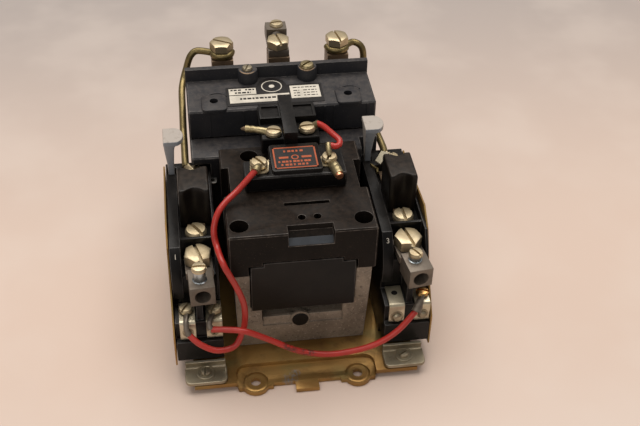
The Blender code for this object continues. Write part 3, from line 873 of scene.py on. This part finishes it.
def make_hood():
    hood = rounded_copy("arc_hood", 0.5, 3)
    boss = [(2.9, 0), (5.3, 0), (5.3, 6.2), (4.9, 7.0), (3.7, 7.0), (3.5, 6.4), (2.9, 6.0),
            (2.9, 0)]
    for side, sign in (("left", -1), ("right", 1)):
        x = sign * 35.2
        across = (x - 7.5, x + 7.5)
        carve(hood, [(rect(across, (17.0, 21.5)), "Z", 88.0, 96.0),
                     (rect(across, (20.0, 36.5)), "Z", HOOD_TOP, 96.0)])
        pad = add_outline(f"hood_pad_{side}", rounded((x - 6.5, x + 6.5), (20.9, 35.4), 2.4), "Z",
                          90.9, 93.2, "slate_moulding", 0.5, 3)
        carve(pad, [(circle(x, 29.4, 2.2, 28), "Z", 90.5, 96.0)])
        bead = [(u, v, 92.2) for u, v in arc(x + 1.6, 33.4, 5.4, 4.4, range(10, 191, 12))]
        add_swept(f"hood_bead_{side}", "slate_moulding", [(bead, [0.45] * len(bead))], 8)
        add_turned(f"rim_boss_{side}", "slate_moulding", [(boss, (sign * 15.9, 49.0, 92.0))])
    add_boxes("hood_ribs", [((x - 0.35, x + 0.35), (21.15, 21.7), (76.2, 91.0))
                            for x in (-38.0, -20.5, 22.0, 27.0, 44.5)], "slate_moulding", 0)
    washers = ((-16.1, 4.2), (15.7, 4.3))
    add_turned("rim_washers", "copper", [
        ([(0, 0), (wide, 0), (wide, 0.4), (wide - 0.4, 0.6), (0, 0.6)], (x, 48.2, 98.6)) for x,
        wide in washers
    ])


def make_nameplate():
    """A black plate with a ring for a crest and dashes for lines of text."""
    top = HOOD_TOP
    plate = rounded((-28.4, 22.4), (24.6, 41.8), 0.8, 3)
    add_outline("nameplate", plate, "Z", top, top + 0.32, "label_black", 0)
    add_outline("nameplate_crest", circle(-4.0, 41.0, 8.0, 48), "Z", top, top + 0.34, "label_black",
                0)
    white = [((-26.9, -12.6), (34.6, 40.4)), ((-26.9, 4.6), (27.0, 33.9)),
             ((5.4, 21.0), (28.6, 40.4))]
    add_boxes("nameplate_panels", [(x, y, (top + 0.3, top + 0.4)) for x, y in white], "label_white",
              0)
    work = bmesh.new()
    turned(work, band(5.0, 5.5, 0.12), (-4.0, 41.0, top + 0.3), 48)
    extruded(work, circle(-4.0, 41.0, 1.5, 48), "Z", top + 0.3, top + 0.42)
    finish_mesh("nameplate_ring", work, "label_white")
    rows = [((-25.9, -20.4), 39.0, 1.2), ((-18.2, -13.4), 39.0, 1.2), ((-23.8, -15.4), 36.4, 1.3),
            ((-21.5, -2.2), 30.6, 1.5), ((7.0, 19.6), 38.4, 0.7), ((7.0, 10.2), 35.6, 0.7),
            ((12.2, 19.4), 35.6, 0.7), ((7.0, 10.2), 33.2, 0.7), ((12.2, 19.4), 33.2, 0.7),
            ((7.0, 10.2), 30.8, 0.7),
            ((12.2, 19.4), 30.8, 0.7)]
    dashes = []
    for (low, high), y, tall in rows:
        x, index = low, 0
        while x < high:
            wide = 1.1 + 0.5 * ((index * 7 + int(y)) % 3)
            dashes.append(((x, min(x + wide, high)), (y - tall / 2, y + tall / 2),
                           (top + 0.35, top + 0.46)))
            x += wide + 0.55
            index += 1
    dashes.append(((-26.9, 4.6), (34.1, 34.35), (top + 0.35, top + 0.46)))
    add_boxes("nameplate_rows", dashes, "label_black", 0)


def make_coil_label():
    """A black label with an orange frame, a ring, and dashes for lines of text."""
    top = 93.7
    low, high, near, far = -9.6, 11.3, -32.6, -15.9
    add_outline("coil_label", rect((low, high), (near, far)), "Z", top, top + 0.18, "label_black",
                0)
    edge, z = 0.75, (top + 0.12, top + 0.24)
    rows = [((low, high), (near, near + edge), z), ((low, high), (far - edge, far), z),
            ((low, low + edge), (near, far), z), ((high - edge, high), (near, far), z),
            ((-7.0, -2.4), (-24.9, -23.4), z), ((4.0, 8.8), (-24.9, -23.4), z)]
    for y, first, last, step in ((-19.2, -4.4, 6.4, 2.0), (-27.4, -7.6, 9.6, 1.8),
                                 (-29.9, -6.4, 8.2, 2.0)):
        x, index = first, 0
        while x + 1 < last:
            rows.append(((x, x + 0.95 + 0.3 * ((index * 5) % 3)), (y - 0.75, y + 0.75), z))
            x += step
            index += 1
    add_boxes("coil_label_print", rows, "label_orange", 0)
    add_turned("coil_label_ring", "label_orange", [(band(1.25, 1.85, 0.12),
                                                    (0.8, -24.15, top + 0.12))], 32)


def make_marks():
    """A plain numeral on the shoulder of each relay."""
    rise = Vector((0, 0.566, 0.824))
    out = Vector((0, -0.824, 0.566))
    for side, sign in (("left", "1"), ("right", "3")):
        text = bpy.data.curves.new(f"{side}_numeral", "FONT")
        text.body = sign
        text.size = 3.6 * MM
        text.extrude = 0.06 * MM
        text.align_x = "CENTER"
        text.align_y = "CENTER"
        lay = add_object(f"{side}_numeral_text", text)
        spot = Vector((RELAYS[side] - 10.6, -54.6, 62.2)) * MM + out * 0.05 * MM
        lay.matrix_world = Matrix.Translation(spot) @ Matrix((Vector((1, 0, 0)), rise,
                                                              out)).transposed().to_4x4()
        bpy.context.view_layer.update()
        graph = bpy.context.evaluated_depsgraph_get()
        mesh = bpy.data.meshes.new_from_object(lay.evaluated_get(graph), depsgraph=graph)
        mesh.transform(lay.matrix_world)
        bpy.data.objects.remove(lay)
        settle(add_object(f"{side}_numeral", mesh), "label_white", "starter")


# metal parts


def hex_head(node, spot, apothem, tall, turn, slot, crown=0.93):
    """A hexagon head with its corners turned off, a shank, and a slot of (turn, width, depth).

    spot is under the head. The head's own turn is in radians.
    """
    work = bmesh.new()
    steps = 48
    rings = [[], [], [], []]
    for k in range(steps):
        a = 2 * math.pi * k / steps
        off_flat = (math.degrees(a) + 30) % 60 - 30
        reach = apothem / math.cos(math.radians(off_flat))
        drop = (reach - apothem * crown) * 0.55
        ahead = Vector((math.cos(a + turn), math.sin(a + turn), 0))
        levels = ((reach, 0), (reach, tall - drop), (apothem * crown, tall),
                  (apothem * 0.5, tall + 0.12))
        for ring, (radius, z) in zip(rings, levels):
            ring.append(work.verts.new((Vector(spot) + ahead * radius + Vector((0, 0, z))) * MM))
    loft(work, rings)
    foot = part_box(node)[0][2] / MM - spot[2]
    turned(work, [(0, foot), (3.0, foot), (3.0, 0.05), (0, 0.05)], spot, 24)
    piece = finish_mesh(node + "_slotted", work, "zinc", "starter", node, angle=24)
    slotted(piece, (spot[0], spot[1], spot[2] + tall), *slot)


def make_hex_screws():
    for side, turn, slot_turn, crown in (("left", -0.157, -75, 0.90), ("right", 0.367, -77, 0.985)):
        hex_head(f"{side}_terminal_screw", (RELAYS[side], TERMINAL_Y, 56.9), 5.9, 5.6, turn,
                 (slot_turn, 1.7, 2.1), crown)
    for index, (x, turn, slot_turn) in enumerate(zip(POLES, (0.45, 0.85, 0.15), (-28, -79, -79)),
                                                 1):
        hex_head(f"load_screw_{index}", (x, TOP_SCREW_Y, 98.0), 5.6, 4.4, turn,
                 (slot_turn, 1.2, 1.6))


# Each rod's way from its loop round the top screw down to its relay.
RODS = {
    "left": ((-41.5, 76.2, 95.4), (-44.8, 75.5, 93.6), (-46.6, 75.0, 90.3), (-48.0, 74.4, 86.0),
             (-49.9, 71.8, 81.2), (-51.4, 64.6, 77.8), (-51.8, 49.5, 74.8), (-52.1, 34.0, 72.2),
             (-52.1, 24.0, 70.4), (-52.2, 11.6, 68.6), (-51.9, 7.5, 68.1)),
    "right": ((45.0, 76.5, 95.4), (48.4, 75.6, 94.6), (50.4, 74.8, 92.2), (51.2, 74.2, 88.0),
              (51.3, 73.2, 81.0), (51.3, 68.5, 74.5), (51.2, 52.0, 69.2), (51.2, 36.0, 67.4),
              (51.2, 24.0, 69.4), (52.4, 11.6, 68.4), (51.9, 7.5, 68.1)),
}
ROD_RADIUS = 1.9
ROD_STEP = 1.4
LOOP_RADIUS = 5.4


def make_rods():
    for side, x, sign in (("left", POLES[0], -1), ("right", POLES[2], 1)):
        loop = arc(x, TOP_SCREW_Y, -sign * LOOP_RADIUS, -LOOP_RADIUS, range(0, 181, 30))
        route = smooth_route([(u, v, 95.7) for u, v in loop] + list(RODS[side]), ROD_STEP)
        add_swept(f"rod_{side}_plated", "rod_metal", [(route, [ROD_RADIUS] * len(route))], 20,
                  "starter", f"rod_{side}")


# Height, inset, and how far the near and the far side are dished, from the foot of a heater up.
HEATER_RINGS = ((60.8, 0.2, 2.7, 2.5), (80.9, 0.0, 2.7, 2.5), (82.0, 0.1, 2.6, 2.4),
                (82.7, 0.42, 2.5, 2.3), (83.0, 0.9, 2.4, 2.2), (83.08, 1.6, 2.2, 2.0))


def make_heaters():
    """Blocks with a scallop in their near and far sides, and the straps under them."""
    spread = [step / 16 for step in range(17)]
    dish = [math.sin(math.pi * min(1, max(0, (t - 0.14) / 0.72))) ** 1.3 for t in spread]
    for side, x, wide in (("left", -48.9, 7.6), ("right", 54.0, 7.1)):
        work = bmesh.new()
        rings = []
        for z, inset, near, far in HEATER_RINGS:
            half = wide - inset
            points = [(x + (half - 2 * half * t), -11.4 - inset - far * d)
                      for t, d in zip(spread, dish)]
            points += [(x + (-half + 2 * half * t), -31.5 + inset + near * d)
                       for t, d in zip(spread, dish)]
            rings.append(ring_at(work, points, z))
        loft(work, rings)
        heater = finish_mesh(f"{side}_heater_moulding", work, "black_gloss", "starter",
                             f"{side}_heater", angle=40)
        evaluate(soften(heater, 1.5, 4, 60))
        add_boxes(f"{side}_heater_strap", [((x - 4.4, x + 4.4), (-42.0, -31.0), (60.9, 62.4)),
                                           ((x - 6, x + 6), (-12.0, 0.4), (60.9, 62.4))], "copper")


# Height, then the left, right, near and far edges from the relay's middle line.
LEVER_SECTIONS = ((51.0, -12.0, -8.7, 5.4, 10.1), (71.4, -12.0, -8.7, 5.4, 10.1),
                  (76.0, -12.4, -8.4, 4.2, 10.4), (82.6, -12.9, -8.0, 2.4, 11.0),
                  (85.0, -13.0, -7.7, 1.6, 11.4), (86.8, -13.1, -6.6, 1.2, 12.2))
LEVER_CORNER = 0.5


def make_levers():
    """Reset levers: a flared stem under a D-shaped head."""
    for side, x in RELAYS.items():
        work = bmesh.new()
        loft(work, [ring_at(work, [(x + u, v) for u, v in rounded((left, right), (near, far),
                                                                  LEVER_CORNER, 3)], z)
                    for z, left, right, near, far in LEVER_SECTIONS])
        outline = [(x - 13.2, 13.6), (x - 13.2, 1.0), (x - 6.6, 1.0)]
        outline += arc(x - 7.9, 7.2, 4.9, 6.4, range(-62, 91, 8))
        extruded(work, outline, "Z", 86.3, 89.0)
        lever = finish_mesh(f"{side}_reset_lever_moulded", work, "lever_moulding", f"{side}_reset",
                            f"{side}_reset_lever", angle=40)
        evaluate(soften(lever, 0.55, 3, 50))


def make_clips():
    """Folded control clips, their rivets, and the small links on the relays."""
    outline = [(-71.75, 23.6), (-71.75, 33.4), *arc(-70.15, 33.3, -1.6, 1.6, range(10, 91, 16))]
    outline += [(-57.9, 34.9), (-57.9, 34.0), (-70.15, 34.0), (-70.6, 33.4), (-70.75, 32.8),
                (-70.75, 23.6)]
    for side, x in RELAYS.items():
        for part, offset in (("a", -7.3), ("b", 5.5)):
            node, middle = f"{side}_clip_{part}", x + offset
            clip = add_outline(node + "_folded", outline, "X", middle - 3.9, middle + 3.9,
                               "bright_clip", 0.22)
            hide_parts(node)
            if node == "right_clip_a":
                # painted shade: a near-black disc on the clip's top stands for the dark inside of
                # its screw hole
                add_outline("clip_hole_painted_shade", circle(middle, -63.0, 1.55, 28), "Z", 34.6, 34.94,
                            "cap_moulding", 0)
    rivets = []
    for x, z, wide in ((46.2, 27.2, 2.5), (-56.5, 28.4, 1.9), (58.8, 27.9, 2.1)):
        rivets.append(([(x, y, z) for y in (-71.5, -73.0, -73.7, -73.9)],
                       [wide, wide * 0.97, wide * 0.7, wide * 0.35]))
        rivets.append(([(x, y, z) for y in (-71.5, -72.0, -72.1)],
                       [wide + 0.8, wide + 0.8, wide + 0.6]))
    add_swept("clip_rivets", "nickel", rivets, 24)
    link = [(50.3, 7.6), (54.4, 5.6), (48.0, -3.6), (45.6, -0.4)]
    add_outline("relay_link", link, "Z", 69.4, 70.2, "bright_clip", 0.2)
    leaf = [(43.4, 1.5), (44.6, 0.6), (47.2, -3.2), (46.4, -6.2), (45.6, -6.0), (46.0, -3.4),
            (44.2, -0.8)]
    add_outline("relay_spring_leaf", leaf, "Z", 65.4, 67.2, "rod_metal", 0.2)
    add_outline("relay_link_left", rounded((-40.6, -36.6), (0.6, 10.4), 1.0, 3), "Z", 61.2, 62.0,
                "steel", 0.2)
    # painted shade: a near-black disc on the link stands for the dark inside of its hole
    add_outline("relay_link_hole_painted_shade", circle(-38.9, 3.0, 1.2, 24), "Z", 61.9, 62.1, "cap_moulding", 0)
    for side, x in (("left", -51.6), ("right", 51.9)):
        path = [(x, 8.4, 68.1), (x + 0.6, 6.8, 67.6), (x + 1.6, 4.6, 66.9), (x + 2.4, 1.8, 66.6)]
        add_swept(f"rod_eye_{side}", "zinc", [(path, [1.9, 2.4, 2.8, 2.6], [1, 0.55, 0.25, 0.2])],
                  16)


def make_feet():
    """Foot brackets: a plate with rounded near corners, a flange with a painted highlight along its
    top edge, and a washer.
    """
    flange = [(-76.6, 5.1), (-73.9, 5.1), (-73.9, 10.3), (-75.4, 10.3), (-75.5, 8.0), (-75.8, 7.3),
              (-76.6, 7.1)]
    washer = [(0, 0), (4.6, 0), (4.6, 0.4), (4.2, 0.7), (3.7, 0.7), (3.5, 0.5), (0, 0.5)]
    for side, sign in (("left", -1), ("right", 1)):
        middle = sign * 49.3
        plate = [(middle + 10.3, -76.0), (middle - 10.3, -76.0)]
        for corner, first in ((-1, 180), (1, 270)):
            plate += arc(middle + corner * 7.3, -83.0, 3.0, 3.0, range(first, first + 91, 15))
        foot = add_outline(f"{side}_foot_stamped", plate, "Z", 5.1, 7.1, "nickel", 0.45, 3)
        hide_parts(f"{side}_foot")
        add_outline(f"{side}_foot_flange", flange, "X", middle - 9.9, middle + 9.9, "nickel")
        # painted highlight: a strip of brighter plating along the flange's top edge, where the
        # light catches it
        add_boxes(f"{side}_foot_rim_painted_highlight", [((middle - 9.7, middle + 9.7), (-75.5, -74.0),
                                        (10.0, 10.45))], "bright_clip", 0.15)
        add_turned(f"{side}_foot_washer", "nickel", [(washer, (sign * 49.5, -79.4, 7.05))])


def make_small_castings():
    """Rings round the pan's mounting holes, the casting's recessed sill, and the cover's lip."""
    ring = [(2.5, -0.3), (2.5, 0.1), (4.5, 0.1), (4.9, 0.2), (5.3, 0.1), (6.2, 0.06), (6.4, -0.3),
            (2.5, -0.3)]
    add_turned("coined_rings", "yellow_chromate", [(ring, (x, -84.2, 2.4)) for x in (-25.4, 25.4)],
               48, 60)
    add_boxes("sill_wall", [((-19.6, 20.4), (-62.4, -60.4), (18.6, 25.0))], "casting", 0.4)
    add_outline("sill_boss", circle(-0.9, 22.2, 5.1, 40), "Y", -63.1, -61.4, "casting", 0.3)
    # painted shade: a near-black disc stands for the screw head sunk in the sill, dark with the
    # shade in its hole
    add_outline("sill_screw_painted_shade", circle(-0.9, 22.0, 4.1, 40), "Y", -63.7, -61.4, "cap_moulding", 0.5)
    # painted sheen: the sloped lip of the cover's front notch is coloured blue-grey for the light
    # it reflects
    add_outline("cover_lip", [(-66.5, 73.3), (-66.5, 74.4), (-63.4, 76.9), (-63.2, 75.7)], "X",
                -7.0, 14.2, "lip_blue", 0.2)


def make_pocket_floors():
    add_boxes("pocket_floors", [((-12.1, -3.5), (5.9, 15.1), (94.5, 96.5)),
                                ((4.1, 13.7), (5.9, 15.1), (94.5, 96.5))], "black_moulding", 0)


SPRING_STEP = 0.19635
SPRING_POINTS = 129
SPRING_RADIUS = 3.1
SPRING_END = 31.9
SPRING_LENGTH = 4.9
CRIMP_STEP = 0.7


def make_springs():
    """The coil spring behind each moving bar."""
    turns = [a * SPRING_STEP for a in range(SPRING_POINTS)]
    for index, x in enumerate(POLES, 1):
        coil = [(x + SPRING_RADIUS * math.cos(turn),
                 SPRING_END + SPRING_LENGTH * a / (SPRING_POINTS - 1),
                 64 + SPRING_RADIUS * math.sin(turn)) for a, turn in enumerate(turns)]
        spring = add_swept(f"contact_spring_{index}_coil", "steel", [(coil, [0.35] * len(coil))],
                           10,
                           "carriage", f"contact_spring_{index}")
        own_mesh(spring)


def clamp_plate(work, centre, half, turn):
    """A thin square washer plate with its corners turned up."""
    steps = 8
    for top in (0, 1):
        for i in range(steps + 1):
            for j in range(steps + 1):
                u, v = 2 * i / steps - 1, 2 * j / steps - 1
                lift = 1.5 * (abs(u) * abs(v)) ** 4
                spot = Vector((u * half, v * half, lift + 0.5 * top))
                spot.rotate(Matrix.Rotation(math.radians(turn), 3, "Z"))
                work.verts.new((spot + Vector(centre)) * MM)
    work.verts.ensure_lookup_table()
    verts = work.verts[-2 * (steps + 1) ** 2 :]

    def at(top, i, j):
        return verts[top * (steps + 1) ** 2 + i * (steps + 1) + j]

    for i in range(steps):
        for j in range(steps):
            work.faces.new((at(1, i, j), at(1, i + 1, j), at(1, i + 1, j + 1), at(1, i, j + 1)))
            work.faces.new((at(0, i, j), at(0, i, j + 1), at(0, i + 1, j + 1), at(0, i + 1, j)))
    for k in range(steps):
        for a, b in (((k, 0), (k + 1, 0)), ((k + 1, steps), (k, steps)), ((0, k + 1), (0, k)),
                     ((steps, k), (steps, k + 1))):
            work.faces.new((at(0, *a), at(0, *b), at(1, *b), at(1, *a)))


def make_crimps():
    work = bmesh.new()
    clamp_plate(work, (-16.8, -27.5, 91.1), 4.5, -6)
    clamp_plate(work, (16.4, -25.8, 91.1), 4.1, 6)
    finish_mesh("clamp_plates", work, "zinc")
    taper = [2.0, 1.5, 1.35, 1.5, 1.6], [0.3, 0.6, 0.95, 1, 1]
    barrels = {
        "coil_crimp_left": ([(-16.9, -28.0, 92.7), (-17.3, -30.0, 93.6), (-17.8, -31.2, 94.8),
                             (-18.3, -32.6, 95.3), (-19.4, -34.8, 94.9)],
                            [2.5, 2.2, 2.0, 2.1, 2.1], [0.25, 0.45, 0.85, 1, 1]),
        "coil_crimp_stub": ([(17.5, -27.2, 92.6), (18.0, -29.8, 92.8), (18.6, -31.6, 93.2),
                             (19.4, -35.0, 93.0), (20.2, -38.4, 92.6)],
                            [2.6, 2.5, 2.5, 2.7, 2.4], [0.25, 0.4, 0.8, 0.85, 0.85]),
        "coil_crimp_upright": ([(17.3, -26.6, 95.2), (17.2, -25.0, 96.2), (17.2, -23.2, 97.3),
                                (17.4, -21.0, 98.2)],
                               [1.2, 1.35, 1.4, 1.35], [0.7, 1, 1, 1]),
        "interlock_crimp_left": ([(-8.4, -3.6, 94.4), (-11.0, -2.7, 94.6), (-12.6, -2.2, 94.9),
                                  (-16.6, -0.7, 94.9), (-21.0, 0.8, 94.7)],
                                 [2.4, 1.8, 1.8, 1.9, 1.85], [0.25, 0.6, 0.9, 0.9, 0.9]),
        "interlock_crimp_right": ([(10.4, -3.0, 94.4), (12.2, -2.2, 94.9), (13.6, -1.5, 96.0),
                                   (15.2, -1.9, 96.9)],
                                  [2.4, 2.0, 1.8, 1.85], [0.25, 0.5, 0.9, 1]),
        "clip_crimp_a": ([(-57.0, -66.4, 35.4), (-57.1, -69.4, 35.9), (-57.2, -72.2, 35.2),
                          (-57.1, -74.4, 32.8), (-56.2, -75.8, 30.5)], *taper),
        "clip_crimp_b": ([(-43.6, -66.6, 35.4), (-44.6, -69.6, 36.0), (-45.5, -72.2, 36.4),
                          (-46.2, -74.6, 35.6), (-45.6, -76.1, 33.8)], *taper),
        "clip_crimp_c": ([(58.9, -67.6, 35.4), (57.7, -70.2, 36.2), (56.8, -72.2, 36.5),
                          (55.7, -74.2, 35.4), (54.5, -75.9, 33.7)],
                         [2.2, 1.9, 2.2, 2.4, 2.45], [0.3, 0.65, 0.95, 1, 1]),
    }
    for name, (points, radii, flat) in barrels.items():
        route = smooth_route(points, CRIMP_STEP)
        spread = np.linspace(0, 1, len(route))
        knots = np.linspace(0, 1, len(points))
        wide = np.interp(spread, knots, radii)
        thin = np.interp(spread, knots, flat)
        dents = [1 - sum(0.12 * math.exp(-(((s - spot) / 0.05) ** 2)) for spot in (0.62, 0.82))
                 for s in spread]
        look = "lug_metal" if name.startswith("clip") else "crimp_metal"
        rows = [(route, [w * d for w, d in zip(wide, dents)], list(thin))]
        add_swept(name, look, rows, 20, angle=50)
    cores = {
        "coil_stub_core": ([(20.0, -37.6, 92.6), (20.5, -39.8, 92.3)], [2.0, 1.8], "bare_copper"),
        "interlock_stub_core": ([(-20.8, 0.8, 94.7), (-22.2, 1.2, 94.5), (-23.3, 1.5, 94.3)],
                                [1.3, 1.0, 0.4], "copper"),
        "upright_core": ([(17.3, -21.8, 98.0), (17.7, -21.0, 98.1), (18.8, -21.0, 97.4)],
                         [1.0, 1.0, 1.0], "bare_copper"),
    }
    for name, (points, radii, look) in cores.items():
        add_swept(name, look, [(points, radii)], 14)


def make_clamp_posts():
    """The round clamp screw that stands out of each lug, under its slotted head."""
    rows = []
    for x, y, low, high, wide in ((-49.1, -66.4, 57.6, 64.2, 3.0), (54.5, -64.3, 57.6, 60.8, 2.9),
                                  (3.2, 84.6, 102.6, 103.8, 3.0)):
        tall = high - low
        rim = wide + 0.5
        rows.append(([(0, 0), (rim, 0), (rim, 0.4), (wide, 0.7), (wide, tall), (0, tall)],
                     (x, y, low)))
    add_turned("clamp_posts", "blued_steel", rows, 32)


def paint_solids():
    """Every solid that still shows takes its finish."""
    for name, node in frame["nodes"].items():
        node.data.materials.clear()
        node.data.materials.append(LOOK[SLOT_OF[name]])


make_camera()
make_wires()
make_floor()
make_light()
paint_solids()
for solid, edge_width in ROUNDED.items():
    carve(rounded_copy(solid, edge_width), CUTS.get(solid, []))
make_hood()
make_nameplate()
make_coil_label()
make_marks()
make_screws()
make_hex_screws()
make_rods()
make_heaters()
make_levers()
make_clips()
make_feet()
make_small_castings()
make_springs()
make_pocket_floors()
make_crimps()
make_clamp_posts()
